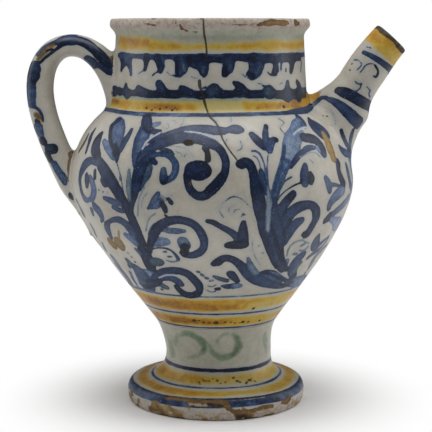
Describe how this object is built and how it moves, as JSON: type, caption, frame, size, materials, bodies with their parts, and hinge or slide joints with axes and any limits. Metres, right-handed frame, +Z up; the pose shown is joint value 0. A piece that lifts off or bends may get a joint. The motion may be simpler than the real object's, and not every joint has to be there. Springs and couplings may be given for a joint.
{
  "type": "footed syrup jar",
  "caption": "Footed ovoid pharmacy jar in tin-glazed earthenware with a wide collar neck, a bent tubular spout and an arched strap handle.",
  "frame": {"origin": "middle of the ring that the foot stands on", "axes": "+Z up, +X towards the spout, -X towards the handle, -Y towards the side that the picture shows"},
  "size_m": [0.2237, 0.1678, 0.2285],
  "materials": {
    "foot_glaze": "semi-gloss",
    "body_glaze": "semi-gloss",
    "neck_glaze": "semi-gloss",
    "spout_glaze": "semi-gloss",
    "handle_glaze": "semi-gloss"
  },
  "bodies": {
    "root": {"foot": "foot_glaze", "body": "body_glaze", "neck": "neck_glaze", "spout": "spout_glaze", "handle": "handle_glaze"}
  },
  "joints": []
}
